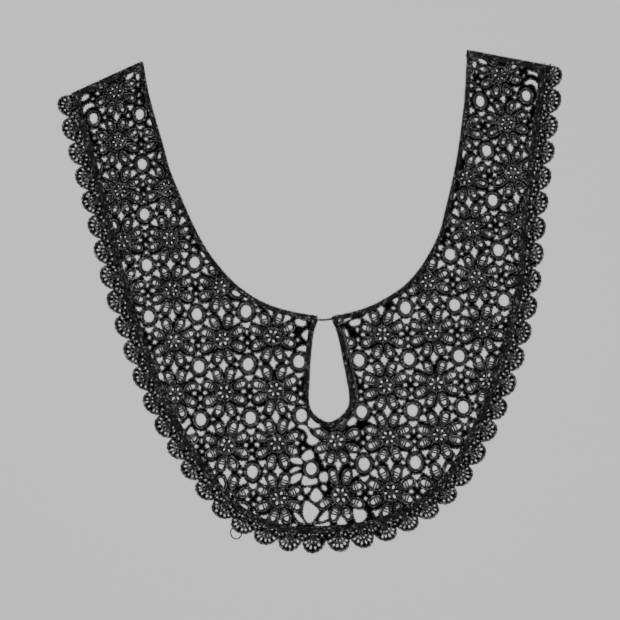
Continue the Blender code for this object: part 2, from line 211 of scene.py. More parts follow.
def smoothed(points, steps, closed=False):
    # A Catmull-Rom curve through the points
    points = np.asarray(points, float)
    if closed:
        rows = np.vstack([points[-1:], points, points[:2]])
    else:
        rows = np.vstack([2 * points[0] - points[1], points, 2 * points[-1] - points[-2]])
    count = len(rows) - 3
    t = np.linspace(0, 1, steps, endpoint=False)
    weights = np.stack(
        [
            -0.5 * t + t**2 - 0.5 * t**3,
            1 - 2.5 * t**2 + 1.5 * t**3,
            0.5 * t + 2 * t**2 - 1.5 * t**3,
            -0.5 * t**2 + 0.5 * t**3,
        ]
    )
    near = np.stack([rows[k : k + count] for k in range(4)])
    line = np.einsum("wt,wkd->ktd", weights, near).reshape(-1, points.shape[1])
    return line if closed else np.vstack([line, points[-1:]])


def unit(turn):
    # The direction of a turn in degrees
    return np.array([math.cos(math.radians(turn)), math.sin(math.radians(turn))])


def headings(line, closed):
    # Unit directions along a line
    if closed:
        along = np.roll(line, -1, 0) - np.roll(line, 1, 0)
    else:
        along = np.gradient(line, axis=0)
    return along / np.maximum(np.linalg.norm(along, axis=1, keepdims=True), 1e-9)


def offsetLine(line, distance, closed=False):
    # The line moved to its left-hand side
    along = headings(line, closed)
    return line + np.stack([-along[:, 1], along[:, 0]], 1) * np.asarray(distance).reshape(-1, 1)


def lengths(line, closed=False):
    rows = np.vstack([line, line[:1]]) if closed else line
    return np.concatenate([[0], np.cumsum(np.linalg.norm(np.diff(rows, axis=0), axis=1))])


def evenly(line, step, closed=False):
    # The line with its points at equal distances
    rows = np.vstack([line, line[:1]]) if closed else line
    at = lengths(line, closed)
    count = max(int(round(at[-1] / step)), 6 if closed else 1)
    stops = np.linspace(0, at[-1], count + 1)
    if closed:
        stops = stops[:-1]
    return np.stack([np.interp(stops, at, rows[:, axis]) for axis in range(line.shape[1])], 1)


def inStitches(line, closed=False):
    # Two points to each stitch that wraps a cord
    stitches = max(int(round(lengths(line, closed)[-1] / stitch["long"])), 2)
    return evenly(line, lengths(line, closed)[-1] / stitches / 2 + 1e-9, closed)


def stretched(line, more):
    first = line[0] + (line[0] - line[1]) / np.linalg.norm(line[0] - line[1]) * more
    last = line[-1] + (line[-1] - line[-2]) / np.linalg.norm(line[-1] - line[-2]) * more
    return np.vstack([first, line, last])


def fromPhoto(points):
    c, s = math.cos(photoTurn), math.sin(photoTurn)
    at = (np.asarray(points, float) - photoCentre) * photoMm
    return np.stack([at[..., 0] * c - at[..., 1] * s, -at[..., 0] * s - at[..., 1] * c], -1)


def isWithin(points, polygon):
    # Even-odd test of many points at once, in blocks that keep memory small
    ax, ay = polygon.T
    bx, by = np.roll(polygon, -1, 0).T
    slope = (bx - ax) / np.where(by == ay, 1.0, by - ay)
    block = max(1, 400000 // len(polygon))
    found = []
    for first in range(0, len(points), block):
        x = points[first : first + block, 0, None]
        y = points[first : first + block, 1, None]
        crosses = ((ay > y) != (by > y)) & (x < ax + (y - ay) * slope)
        found.append(crosses.sum(1) % 2 == 1)
    return np.concatenate(found)


def isKept(points, zone):
    kept = np.ones(len(points), bool)
    for polygon in zone["inside"]:
        kept &= isWithin(points, polygon)
    for polygon in zone["outside"]:
        kept &= ~isWithin(points, polygon)
    return kept


def ellipse(halfWide, halfHigh, count, centre=(0, 0), turn=0.0, egg=0.0):
    # egg makes the end that turn points to wider than the other
    t = np.linspace(0, 2 * math.pi, count, endpoint=False)
    x = np.cos(t) * halfWide
    y = np.sin(t) * halfHigh * (1 + egg * np.cos(t))
    c, s = unit(turn)
    return np.stack([centre[0] + c * x - s * y, centre[1] + s * x + c * y], 1)


def areaOf(loop):
    x, y = loop[:, 0], loop[:, 1]
    return float((x * np.roll(y, -1) - np.roll(x, -1) * y).sum() / 2)


def grown(loop, distance):
    # A closed loop moved outward
    loop = loop if areaOf(loop) > 0 else loop[::-1]
    return offsetLine(loop, -distance, True)


# The outlines of the collar
neckLine = stretched(smoothed(sections[:, :2], spanSteps * 3), overrun)
edgeLine = smoothed(sections[:, 2:], spanSteps)
edgeFine = smoothed(sections[:, 2:], spanSteps * 3)


def alongEdge(inward):
    return stretched(offsetLine(edgeFine, inward), overrun)


def keyholeLine(outward):
    left = [(row[1], row[0]) for row in keyholeSections]
    right = [(row[2], row[0]) for row in keyholeSections[::-1]]
    return offsetLine(smoothed([*left, keyholeFoot, *right], 6), -outward)


def endZone(half, inward):
    # Everything on the collar's side of a line, inward from the cut across a shoulder end
    start, stop = (np.array(p) for p in ends[half])
    along = (stop - start) / np.linalg.norm(stop - start)
    down = np.array([along[1], -along[0]]) * (1 if along[0] > 0 else -1)
    near = start + down * inward - along * farAway
    far = start + down * inward + along * farAway
    return np.array([near, far, far + down * farAway, near + down * farAway])


def beside(line, side, overlap=0.15):
    shifted = offsetLine(np.asarray(line, float), -side * overlap)
    far = side * farAway
    first, last = shifted[0], shifted[-1]
    return np.vstack(
        [(first[0], farAway), shifted, (last[0], -farAway), (far, -farAway), (far, farAway)]
    )


def onLattice(half, column, row, shape):
    # A shape round a lattice place, bent as the lattice is
    shape = np.atleast_2d(np.asarray(shape, float))
    c = column + shape[:, :1] / cellAcross
    r = row - shape[:, 1:2] / cellDown
    at = {name: np.array(value) for name, value in lattices[half].items()}
    drop = np.maximum(r - lowRow["from"], 0) * lowRow["drop"][half] * np.array([0, -1])
    return (
        at["start"]
        + at["column"] * c
        + at["row"] * r
        + at["columnBend"] * c * c
        + at["twist"] * c * r
        + at["rowBend"] * r * r
        + drop
        + strays.get((half, column, row), (0, 0))
    )


def places(offsetColumn, offsetRow):
    steps = range(-latticeReach, latticeReach + 1)
    return [(column + offsetColumn, row + offsetRow) for column in steps for row in steps]


class Threads:
    # Collects swept cords into one mesh. The map holds millimetres along the cord, and
    # the share of the way round it plus the cord's own number.

    def __init__(self):
        self.points = []
        self.quads = []
        self.maps = []
        self.caps = []
        self.count = 0
        self.cords = 0

    def sweep(self, path, across, height, closed=False):
        # across and height have one row for each point of the path and one column round the section,
        # which goes from the left-hand side over the top
        count, sides = across.shape
        along = headings(path, closed)
        left = np.stack([-along[:, 1], along[:, 0]], 1)
        flat = path[:, None, :] + left[:, None, :] * across[:, :, None]
        self.points.append(np.concatenate([flat, height[:, :, None]], 2).reshape(-1, 3))
        at = lengths(path, closed)
        spans = count if closed else count - 1
        k = np.arange(spans)[:, None]
        s = np.arange(sides)[None, :]
        after = (k + 1) % count
        nextSide = (s + 1) % sides
        base = self.count
        corners = [k * sides + s, k * sides + nextSide, after * sides + nextSide, after * sides + s]
        self.quads.append(np.stack([base + c for c in corners], 2).reshape(-1, 4))
        u0 = np.broadcast_to(at[:spans, None], (spans, sides))
        u1 = np.broadcast_to(at[1 : spans + 1, None], (spans, sides))
        v0 = np.broadcast_to(s / sides, (spans, sides)) + self.cords
        v1 = v0 + 1 / sides
        self.maps.append(np.stack([u0, v0, u0, v1, u1, v1, u1, v0], 2).reshape(-1, 4, 2))
        if not closed:
            ring = base + np.arange(sides)
            self.caps.append(ring[::-1])
            self.caps.append(ring + (count - 1) * sides)
        self.count += count * sides
        self.cords += 1

    def cord(self, path, wide, high, z, closed=False, sides=6, bead=0.0, cog=0.0):
        # bead is how much the cord swells over each wrapped stitch, of two points each, and cog how
        # far the stitches stand out by turns to one side and the other
        count = len(path)
        angle = np.linspace(0, 2 * math.pi, sides, endpoint=False)
        size = 1 + bead * np.cos(np.arange(count) * math.pi)
        if bead:
            size = size + draws.normal(0, stitch["sizeStray"], count)
            out = cog * np.cos(np.arange(count) * math.pi)
            path = offsetLine(path, out + draws.normal(0, stitch["stray"], count), closed)
        wide = np.broadcast_to(wide, (count,)) * size
        high = np.broadcast_to(high, (count,)) * (0.5 + 0.5 * size)
        z = np.broadcast_to(z, (count,))
        across = np.cos(angle)[None, :] * wide[:, None] / 2
        height = z[:, None] + np.sin(angle)[None, :] * high[:, None] / 2
        self.sweep(path, across, np.maximum(height, 0.02), closed)

    def clipped(self, path, zone, closed=False, bead=stitch["bead"], **look):
        # The stretches of a cord that lie in the zone
        if bead:
            path = inStitches(path, closed)
            look["bead"] = bead
        kept = isKept(path, zone)
        if kept.all():
            self.cord(path, closed=closed, **look)
            return
        if not kept.any():
            return
        if closed:
            turn = int(np.argmin(kept))
            path, kept = np.roll(path, -turn, 0), np.roll(kept, -turn)
        edges = np.flatnonzero(np.diff(np.concatenate([[0], kept.astype(int), [0]])))
        for first, last in zip(edges[::2], edges[1::2]):
            if last - first > 2:
                self.cord(path[first:last], **look)

    def build(self, name, material):
        points = (np.vstack(self.points) - (*middle, 0)) * mm
        quads = np.vstack(self.quads).tolist()
        caps = [cap.tolist() for cap in self.caps]
        data = bpy.data.meshes.new(name)
        data.from_pydata(points.tolist(), [], quads + caps)
        mapped = np.concatenate(self.maps).reshape(-1, 2)
        if caps:
            loops = sum(len(cap) for cap in caps)
            mapped = np.vstack([mapped, np.zeros((loops, 2))])
        data.uv_layers.new(name="thread").data.foreach_set("uv", mapped.ravel())
        data.shade_smooth()
        data.materials.append(material)
        piece = bpy.data.objects.new(name, data)
        bpy.context.scene.collection.objects.link(piece)
        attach(piece, "root")
        triangles = len(quads) * 2 + sum(len(cap) - 2 for cap in caps)
        print(name, self.cords, "cords,", triangles, "triangles", flush=True)
        return piece


def webMesh(name, zone, holes, low, high, material):
    # A flat web of thread from low to high, with the holes cut through it, and the area that it covers
    loops = [np.asarray(loop) for loop in [*zone["inside"], *zone["outside"], *holes]]
    kinds = [0] * len(zone["inside"]) + [1] * (len(zone["outside"]) + len(holes))
    points, edges = [], []
    for loop in loops:
        first = len(points)
        points += [Vector(p) for p in loop.tolist()]
        edges += [(first + k, first + (k + 1) % len(loop)) for k in range(len(loop))]
    found = delaunay_2d_cdt(points, edges, [], 0, 1e-5)
    corners = np.array([tuple(p) for p in found[0]])
    faces = np.array(found[2])
    centres = corners[faces].mean(1)
    kept = np.ones(len(faces), bool)
    for loop, kind in zip(loops, kinds):
        lowest, highest = loop.min(0), loop.max(0)
        near = ((centres > lowest) & (centres < highest)).all(1)
        within = np.zeros(len(faces), bool)
        within[near] = isWithin(centres[near], loop)
        kept &= ~within if kind else within
    faces = faces[kept]
    a, b, c = (corners[faces[:, k]] for k in range(3))
    doubled = (b - a)[:, 0] * (c - a)[:, 1] - (b - a)[:, 1] * (c - a)[:, 0]
    covered = float(np.abs(doubled).sum() / 2)
    faces[doubled < 0] = faces[doubled < 0][:, ::-1]
    edges = np.concatenate([faces[:, [0, 1]], faces[:, [1, 2]], faces[:, [2, 0]]])
    forward = {tuple(e) for e in edges.tolist()}
    rim = np.array([e for e in forward if (e[1], e[0]) not in forward])
    used, index = np.unique(faces, return_inverse=True)
    faces = index.reshape(-1, 3)
    back = {int(u): k for k, u in enumerate(used)}
    rim = np.array([(back[int(p)], back[int(q)]) for p, q in rim])
    count = len(used)
    flat = corners[used] - middle
    top = np.column_stack([flat, np.full(count, high)])
    under = np.column_stack([flat, np.full(count, low)])
    vertices = np.vstack([top, under]) * mm
    walls = np.stack([rim[:, 1], rim[:, 0], rim[:, 0] + count, rim[:, 1] + count], 1)
    triangles = np.vstack([faces, faces[:, ::-1] + count])
    data = bpy.data.meshes.new(name)
    data.from_pydata(vertices.tolist(), [], triangles.tolist() + walls.tolist())
    flatMap = np.vstack([flat, flat])
    loopIndex = np.concatenate([triangles.ravel(), walls.ravel()])
    data.uv_layers.new(name="thread").data.foreach_set("uv", flatMap[loopIndex].ravel())
    data.materials.append(material)
    piece = bpy.data.objects.new(name, data)
    bpy.context.scene.collection.objects.link(piece)
    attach(piece, "root")
    print(name, len(holes), "holes,", len(triangles) + 2 * len(walls), "triangles", flush=True)
    return piece, covered


# Materials
def newGroup(name, inputs, outputs):
    group = bpy.data.node_groups.new(name, "ShaderNodeTree")
    for label, kind, value in inputs:
        socket = group.interface.new_socket(name=label, in_out="INPUT", socket_type=kind)
        if value is not None:
            socket.default_value = value
    for label, kind in outputs:
        group.interface.new_socket(name=label, in_out="OUTPUT", socket_type=kind)
    start = group.nodes.new("NodeGroupInput")
    stop = group.nodes.new("NodeGroupOutput")
    return group, start, stop


def math2(tree, kind, a, b=None):
    node = tree.nodes.new("ShaderNodeMath")
    node.operation = kind
    for socket, value in zip(node.inputs, (a, b)):
        if value is None:
            continue
        if isinstance(value, (int, float)):
            socket.default_value = value
        else:
            tree.links.new(value, socket)
    return node.outputs[0]


def stitchGroup():
    # Stitches that wrap a cord: ridges across it, slightly slanted and uneven, and a random value for each stitch,
    # which the materials turn into painted glints on some stitches
    tree, start, stop = newGroup(
        "stitches",
        [
            ("Pitch", "NodeSocketFloat", 0.65),
            ("Slant", "NodeSocketFloat", 1.0),
            ("Uneven", "NodeSocketFloat", 0.5),
        ],
        [("Height", "NodeSocketFloat"), ("Tone", "NodeSocketFloat")],
    )
    uv = tree.nodes.new("ShaderNodeUVMap")
    uv.uv_map = "thread"
    parts = tree.nodes.new("ShaderNodeSeparateXYZ")
    tree.links.new(uv.outputs[0], parts.inputs[0])
    noise = tree.nodes.new("ShaderNodeTexNoise")
    noise.inputs["Scale"].default_value = 1.1
    noise.inputs["Detail"].default_value = 2
    tree.links.new(uv.outputs[0], noise.inputs["Vector"])
    stray = math2(tree, "MULTIPLY", noise.outputs["Fac"], start.outputs["Uneven"])
    along = math2(tree, "DIVIDE", parts.outputs["X"], start.outputs["Pitch"])
    around = math2(tree, "MULTIPLY", parts.outputs["Y"], start.outputs["Slant"])
    phase = math2(tree, "ADD", along, around)
    phase = math2(tree, "ADD", phase, math2(tree, "MULTIPLY", stray, 4.0))
    wave = math2(tree, "SINE", math2(tree, "MULTIPLY", phase, 2 * math.pi))
    ridge = math2(tree, "ADD", math2(tree, "MULTIPLY", wave, 0.5), 0.5)
    tree.links.new(ridge, stop.inputs["Height"])
    # A random value for each stitch, sent out as Tone: its high end is painted as glints in the base colour
    each = tree.nodes.new("ShaderNodeTexWhiteNoise")
    each.noise_dimensions = "2D"
    whole = tree.nodes.new("ShaderNodeCombineXYZ")
    number = math2(tree, "DIVIDE", parts.outputs["X"], stitch["long"])
    number = math2(tree, "ADD", number, math2(tree, "MULTIPLY", stray, 1.5))
    tree.links.new(math2(tree, "FLOOR", number), whole.inputs[0])
    tree.links.new(math2(tree, "FLOOR", parts.outputs["Y"]), whole.inputs[1])
    tree.links.new(whole.outputs[0], each.inputs["Vector"])
    tree.links.new(each.outputs["Value"], stop.inputs["Tone"])
    return tree


def roughnessAndGlintFlecksGroup():
    # Slow changes over the lace, used for roughness, and small flecks by place, which the materials paint as lighter
    # glints and also raise a little in the bump
    tree, start, stop = newGroup(
        "roughness_and_glint_flecks",
        [("Size", "NodeSocketFloat", 90.0), ("Fine", "NodeSocketFloat", 1100.0)],
        [("Tone", "NodeSocketFloat"), ("Fleck", "NodeSocketFloat")],
    )
    place = tree.nodes.new("ShaderNodeTexCoord")
    for size, detail, out in (("Size", 3, "Tone"), ("Fine", 2, "Fleck")):
        noise = tree.nodes.new("ShaderNodeTexNoise")
        noise.inputs["Detail"].default_value = detail
        tree.links.new(place.outputs["Object"], noise.inputs["Vector"])
        tree.links.new(start.outputs[size], noise.inputs["Scale"])
        tree.links.new(noise.outputs["Fac"], stop.inputs[out])
    return tree


groups = {"stitches": stitchGroup(), "tone": roughnessAndGlintFlecksGroup()}


def threadMaterial(name, **changes):
    look = {**threadLook, **changes}
    made = bpy.data.materials.new(name)
    made.use_nodes = True
    tree = made.node_tree
    shader = tree.nodes["Principled BSDF"]
    shader.inputs["Specular IOR Level"].default_value = look["specular"]
    shader.inputs["Sheen Weight"].default_value = look["sheen"]
    shader.inputs["Sheen Roughness"].default_value = look["sheenRough"]
    stitches = tree.nodes.new("ShaderNodeGroup")
    stitches.node_tree = groups["stitches"]
    for label, key in (("Pitch", "pitch"), ("Slant", "slant"), ("Uneven", "uneven")):
        stitches.inputs[label].default_value = look[key]
    tone = tree.nodes.new("ShaderNodeGroup")
    tone.node_tree = groups["tone"]
    # Painted highlights in the base colour: a random share of stitches, the crests of the stitch ridges and small
    # flecks are lifted from the dark thread colour towards the light glint colour, which leaves painted shade in the
    # grooves between ridges
    mixed = math2(tree, "MULTIPLY", stitches.outputs["Tone"], look["stitchGlint"])
    ridge = math2(tree, "MULTIPLY", stitches.outputs["Height"], look["ridgeHighlight"])
    mixed = math2(tree, "ADD", mixed, ridge)
    fleck = math2(tree, "MULTIPLY", tone.outputs["Fleck"], look["fleckGlint"])
    mixed = math2(tree, "ADD", mixed, fleck)
    ramp = tree.nodes.new("ShaderNodeValToRGB")
    stops = ramp.color_ramp.elements
    stops[0].position, stops[0].color = look["darkTo"], (*look["dark"], 1)
    stops[1].position, stops[1].color = 1.0, (*look["light"], 1)
    middleStop = stops.new(look["lightFrom"])
    pairs = zip(look["dark"], look["light"])
    middleStop.color = (*((1 - look["between"]) * d + look["between"] * l for d, l in pairs), 1)
    tree.links.new(mixed, ramp.inputs[0])
    tree.links.new(ramp.outputs[0], shader.inputs["Base Color"])
    rough = math2(tree, "MULTIPLY", tone.outputs["Tone"], look["roughVary"])
    tree.links.new(math2(tree, "ADD", rough, look["rough"]), shader.inputs["Roughness"])
    fleck = math2(tree, "MULTIPLY", tone.outputs["Fleck"], look["fleckHeight"])
    bump = tree.nodes.new("ShaderNodeBump")
    bump.inputs["Strength"].default_value = look["bump"]
    bump.inputs["Distance"].default_value = look["deep"] * mm
    height = math2(tree, "ADD", stitches.outputs["Height"], fleck)
    tree.links.new(height, bump.inputs["Height"])
    tree.links.new(bump.outputs[0], shader.inputs["Normal"])
    return made


# dark is the thread's own near-black; light is the colour of the painted glints that bright stitches, ridge crests and
# flecks are lifted towards, and the three shares after between set how much each adds
threadLook = {
    "dark": (0.0006, 0.0006, 0.0007),
    "light": (0.20, 0.195, 0.20),
    "darkTo": 0.2,
    "lightFrom": 0.74,
    "between": 0.12,
    "stitchGlint": 0.7,
    "ridgeHighlight": 0.15,
    "fleckGlint": 0.3,
    "specular": 0.55,
    "sheen": 0.01,
    "sheenRough": 0.4,
    "pitch": 0.65,
    "slant": 1.0,
    "uneven": 0.5,
    "rough": 0.2,
    "roughVary": 0.2,
    "bump": 0.9,
    "deep": 0.2,
    "fleckHeight": 0.6,
}
dull = {"specular": 0.0, "sheen": 0.0, "uneven": 2.0, "rough": 0.6}
# The bands get a dimmer painted glint colour, reached by fewer stitches, and the web below only faint painted specks
bandLook = {"light": (0.18, 0.176, 0.18), "lightFrom": 0.84, "specular": 0.07, "sheen": 0.0}
materials = {
    "cord": threadMaterial("corded_thread"),
    "web": threadMaterial("web_thread", light=(0.02, 0.0195, 0.02), lightFrom=0.8, **dull),
    "band": threadMaterial("band_thread", **bandLook),
}


def mirrored(points):
    return [(-x, y) for x, y in points]


# Holes round one eyelet, from its centre, to the right and up. Those that are mirrored are on its left
roundEyelet = {
    "upper": [(-9.4, 7.4), (-6.6, 6.9), (-4.0, 6.6), (-5.2, 4.6), (-6.7, 2.8), (-8.0, 4.9)],
    "lower": [
        (-6.9, -3.0),
        (-5.4, -4.6),
        (-3.9, -6.3),
        (-6.3, -7.7),
        (-9.4, -9.3),
        (-8.9, -7.1),
        (-8.7, -5.5),
    ],
    "beside": [
        (-6.2, 0.0),
        (-7.4, 0.8),
        (-8.1, 1.9),
        (-8.8, 0.7),
        (-9.9, 0.0),
        (-8.8, -0.7),
        (-8.0, -1.8),
        (-7.4, -0.7),
    ],
    "below": [(-3.0, -7.2), (-0.2, -7.7), (2.9, -7.2), (2.2, -9.3), (0.0, -11.0), (-2.2, -9.3)],
    "above": [(-2.2, 7.4), (0.0, 7.7), (2.2, 7.4), (1.0, 9.1), (0.0, 10.5), (-1.0, 9.1)],
}
eyeletHoles = (
    roundEyelet["upper"],
    mirrored(roundEyelet["upper"]),
    roundEyelet["lower"],
    mirrored(roundEyelet["lower"]),
    roundEyelet["below"],
    roundEyelet["above"],
    roundEyelet["beside"],
    mirrored(roundEyelet["beside"]),
)
diamond = [
    (0.0, 4.7),
    (-1.2, 1.9),
    (-2.8, 0.0),
    (-1.3, -1.7),
    (0.0, -4.7),
    (1.3, -1.7),
    (2.8, 0.0),
    (1.2, 1.9),
]
# Small holes where four petals meet, right of a flower: x, y, halfWide, halfHigh
meetingHoles = (
    (0.0, 3.5, 0.85, 1.6),
    (0.1, -3.5, 1.1, 1.15),
    (-3.8, -0.1, 1.45, 1.25),
    (3.6, 0.0, 1.5, 1.35),
)
eyelet = {"halfWide": 3.6, "halfHigh": 4.2, "least": 0.4}
plainLeast = 0.2  # the share of a plain hole that openness leaves alone

# A flower's petals: turn in degrees, and the distance to their middles
petals = (
    (23.0, 11.2),
    (69.0, 11.8),
    (111.0, 11.8),
    (157.0, 11.2),
    (206.0, 11.2),
    (251.0, 12.0),
    (289.0, 12.0),
    (334.5, 11.2),
)
petal = {
    "outer": (4.75, 3.05),
    "inner": (3.85, 2.15),
    "hole": (3.5, 1.85),
    "egg": 0.14,
    "outward": 2.4,
    "rungs": (-2.75, -1.2, 0.35),
    "lean": 0.15,
    "clefts": (6.0, 7.4, 8.9),
    "turnStray": 1.5,
    "placeStray": 0.2,
    "sizeStray": 0.04,
}
hub = {
    "slots": 6,
    "slotAt": 3.35,
    "slotHalf": (1.1, 0.8),
    "slotSize": (0.8, 1.15),
    "slotStray": 0.18,
    "slotTurn": 8,
    "wider": 0.08,
    "spin": 12,
    "rings": (4.95, 5.85),
    "knots": (0.8, 1.75),
    "clefts": (1.9, 3.2, 4.7),
}
wander = {"plain": 0.22, "eyelet": 0.12, "meeting": 0.1}
bites = {"plain": 1.05, "eyelet": 0.7, "meeting": 0.6, "gap": 0.8}


def openness(row):
    # The stitching is closer towards the shoulders, which leaves smaller holes
    return float(np.clip(1 + 0.075 * (row + 1.2), 0.76, 1.0))


def petalOpenness(row):
    return float(np.clip(0.92 + 0.06 * row, 0.7, 0.95))


def shrunk(shape, share):
    shape = np.asarray(shape, float)
    return shape.mean(0) + (shape - shape.mean(0)) * share


def rounded(points, steps=3):
    return smoothed(points, steps, closed=True)


def uneven(shape, amount):
    shape = np.asarray(shape, float)
    return shape + draws.normal(0, amount, shape.shape)


def bitten(loop, deep, pitch=1.9):
    # The edge of a hole, with stitches that bite into it by turns
    loop = loop if areaOf(loop) > 0 else loop[::-1]
    line = evenly(loop, pitch / 4, True)
    turns = max(int(round(lengths(line, True)[-1] / pitch)), 3)
    phase = np.linspace(0, 2 * math.pi * turns, len(line), endpoint=False)
    phase = phase + draws.uniform(0, 2 * math.pi)
    size = deep * draws.uniform(0.4, 1.3, len(line))
    return offsetLine(line, size * np.cos(phase) / 2, True)


def ownSide(point, side):
    return bool(isWithin(np.atleast_2d(point), beside(joinLine, side))[0])


def apart(loop, others, room, far=30):
    # True where a loop is farther than room from all the others
    for other in others:
        if np.abs(loop[0] - other[0]).max() > far:
            continue
        gap = np.linalg.norm(loop[:, None, :] - other[None, :, :], axis=2).min()
        if gap < room or isWithin(loop[:1], other)[0] or isWithin(other[:1], loop)[0]:
            return False
    return True


body = np.vstack(
    [
        alongEdge(bandWidths["base"] + bandWidths["dense"] - tuck),
        offsetLine(neckLine, -bandWidths["neck"] + tuck)[::-1],
    ]
)
grownBody = np.vstack([alongEdge(-2.0), offsetLine(neckLine, 8.0)[::-1]])
keyholeInner = keyholeLine(bandWidths["keyhole"] - tuck)
keyholeNear = keyholeLine(bandWidths["keyhole"] + 2.5)
gaps = [bitten(rounded(fromPhoto(corners)), bites["gap"]) for corners in oddGaps]
ringLoop = ellipse(3.5, 4.1, 24, joinRing)
taken = [*gaps, grown(ringLoop, 1.2)]
groundZone = {
    half: {
        "inside": [body, endZone(half, bandWidths["end"] - tuck)],
        "outside": [keyholeInner],
    }
    for half in sides
}
frontX = edgeLine[frontStation][0]
splitLines = {
    "neck": np.array([keyholeFoot, (keyholeFoot[0], -farAway / 2)]),
    "edge": np.array([edgeLine[frontStation], (frontX, -farAway / 2)]),
}


def petalAt(put, turn, distance, scale, share):
    # The outer and inner loops of a petal, its hole and its rungs
    loops = []
    for key, count, own in (("outer", 30, 1.0), ("inner", 24, share), ("hole", 14, share)):
        halfLong, halfWide = np.array(petal[key]) * scale * own
        middleAt = unit(turn) * (distance + (1 - own) * petal["outward"])
        loops.append(put(ellipse(halfLong, halfWide, count, middleAt, turn, petal["egg"])))
    rungs = []
    c, s = unit(turn)
    for place in petal["rungs"]:
        reach = petal["inner"][1] * math.sqrt(1 - (place / petal["inner"][0]) ** 2) * scale
        lean = draws.normal(0, petal["lean"])
        line = np.array([(place - lean, -reach), (place, 0), (place + lean, reach)])
        line[:, 0] += distance
        turned = [line[:, 0] * c - line[:, 1] * s, line[:, 0] * s + line[:, 1] * c]
        rungs.append(put(np.stack(turned, 1)))
    return (*loops, rungs)


def flowerAt(half, column, row):
    # One flower's petals and middle, each a little different from the next
    def put(shape):
        return onLattice(half, column, row, shape)

    share = petalOpenness(row)
    made = {"petals": [], "hub": [], "clefts": []}
    turns = []
    for turn, distance in petals:
        turn += draws.normal(0, petal["turnStray"])
        distance += draws.normal(0, petal["placeStray"])
        scale = 1 + draws.normal(0, petal["sizeStray"])
        turns.append(turn)
        made["petals"].append(petalAt(put, turn, distance, scale, share))
    step = 360 / hub["slots"]
    spin = draws.uniform(-hub["spin"], hub["spin"])
    for k in range(hub["slots"]):
        turn = step * k + spin
        at = unit(turn) * hub["slotAt"] + draws.normal(0, hub["slotStray"], 2)
        slotHalf = np.array(hub["slotHalf"]) * (share + hub["wider"]) * draws.uniform(*hub["slotSize"])
        slot = ellipse(*slotHalf, 8, at, turn + draws.normal(0, hub["slotTurn"]))
        made["hub"].append(put(slot))
    for k in range(hub["slots"]):
        made["clefts"].append(put(np.outer(hub["clefts"], unit(step * (k + 0.5) + spin))))
    for first, second in zip(turns, [*turns[1:], turns[0] + 360]):
        made["clefts"].append(put(np.outer(petal["clefts"], unit((first + second) / 2))))
    made["rings"] = [put(ellipse(r, r, 30)) for r in hub["rings"]]
    made["knots"] = [put(ellipse(r, r, 12)) for r in hub["knots"]]
    return made


def patternOf(half, side):
    # The holes and flowers of one half, on its own side of the join, clear of what is there already
    found = {"plain": [], "eyelets": [], "flowers": [], "inner": []}

    def fits(loop, room=0.6, anySide=False):
        centre = loop.mean(0)
        if isWithin(centre[None], keyholeInner)[0] or not (anySide or ownSide(centre, side)):
            return False
        if not isKept(loop, groundZone[half]).any():
            return False
        return apart(loop, taken, room)

    for column, row in places(0.5, 0.5):
        share = eyelet["least"] + (1 - eyelet["least"]) * openness(row)
        shape = ellipse(eyelet["halfWide"] * share, eyelet["halfHigh"] * (0.5 + share / 2), 10)
        loop = rounded(onLattice(half, column, row, uneven(shape, wander["eyelet"])))
        if fits(loop) and not isWithin(loop.mean(0)[None], keyholeNear)[0]:
            found["eyelets"].append(bitten(loop, bites["eyelet"]))
    for column, row in places(0.0, 0.0):
        centre = onLattice(half, column, row, (0, 0))
        flower = flowerAt(half, column, row)
        if ownSide(centre, side) and isKept(centre, {"inside": [grownBody], "outside": []})[0]:
            flower["petals"] = [parts for parts in flower["petals"] if fits(parts[2], 0.25, True)]
            found["flowers"].append(flower)
            found["inner"] += [parts[2] for parts in flower["petals"]]
            found["inner"] += [slot for slot in flower["hub"] if fits(slot, 0.25, True)]
    near = [*found["eyelets"], *found["inner"]]
    nearMiddles = np.array([loop.mean(0) for loop in near])
    meeting = [ellipse(wide, high, 6, (x, y)) for x, y, wide, high in meetingHoles]
    smaller = (
        (0.5, 0.5, eyeletHoles, "plain"),
        (0.0, 0.5, (diamond,), "plain"),
        (0.5, 0.0, meeting, "meeting"),
    )
    for offsetColumn, offsetRow, shapes, kind in smaller:
        for column, row in places(offsetColumn, offsetRow):
            for shape in shapes:
                share = plainLeast + (1 - plainLeast) * openness(row)
                shape = shrunk(uneven(shape, wander[kind]), share)
                loop = rounded(onLattice(half, column, row, shape))
                if not fits(loop):
                    continue
                close = np.flatnonzero(np.abs(nearMiddles - loop.mean(0)).max(1) < 9)
                if apart(loop, [near[k] for k in close], 0.3):
                    found["plain"].append(bitten(loop, bites[kind]))
    taken.extend(
        loop
        for loop in [*found["eyelets"], *found["inner"], *found["plain"]]
        if np.linalg.norm(loop.mean(0) - joinLine, axis=1).min() < 35
    )
    return found


